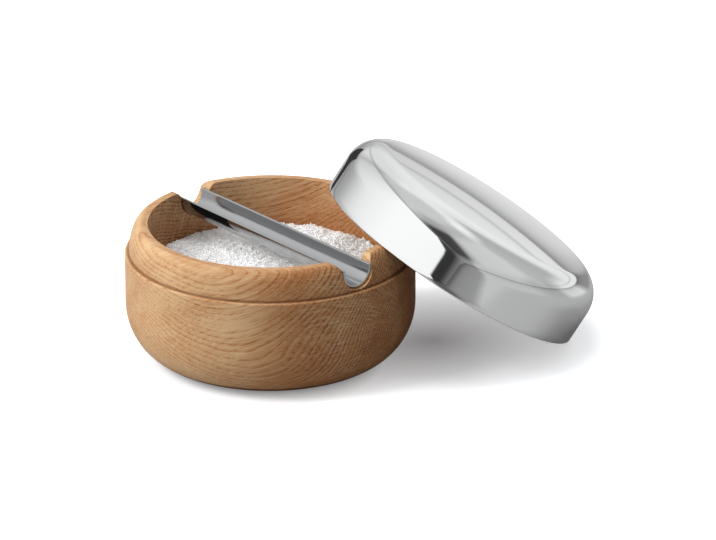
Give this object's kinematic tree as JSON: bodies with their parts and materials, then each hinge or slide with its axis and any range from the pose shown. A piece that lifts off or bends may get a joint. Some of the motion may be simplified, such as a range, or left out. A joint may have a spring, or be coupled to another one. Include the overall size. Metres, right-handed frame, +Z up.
{
  "type": "salt bowl with lift-off lid and scoop",
  "caption": "Turned oak salt bowl with a ledge and a domed collar, a polished steel lid leaning on its rim, and a half-pipe steel scoop lying in notches across it.",
  "frame": {"origin": "centre of the bowl's flat underside", "axes": "+Z up along the bowl's turning axis; the scoop lies along Y with its front end towards -Y; the leaning lid stands towards +X"},
  "size_m": [0.1654, 0.1356, 0.0731],
  "materials": {
    "oak": "turned oak, oiled matt",
    "polished_steel": "mirror polished stainless steel",
    "scoop_steel": "satin polished stainless steel",
    "salt": "coarse white salt flakes"
  },
  "bodies": {
    "bowl": {"bowl": "oak", "salt": "salt"},
    "lid": {"lid": "polished_steel"},
    "scoop": {"scoop": "scoop_steel"}
  },
  "joints": [
    {"name": "lid_lift", "type": "slide", "parent": "bowl", "child": "lid", "axis": [0, 0, 1], "range_m": [0, 0.06]},
    {"name": "scoop_lift", "type": "slide", "parent": "bowl", "child": "scoop", "axis": [0, 0, 1], "range_m": [0, 0.016]}
  ]
}
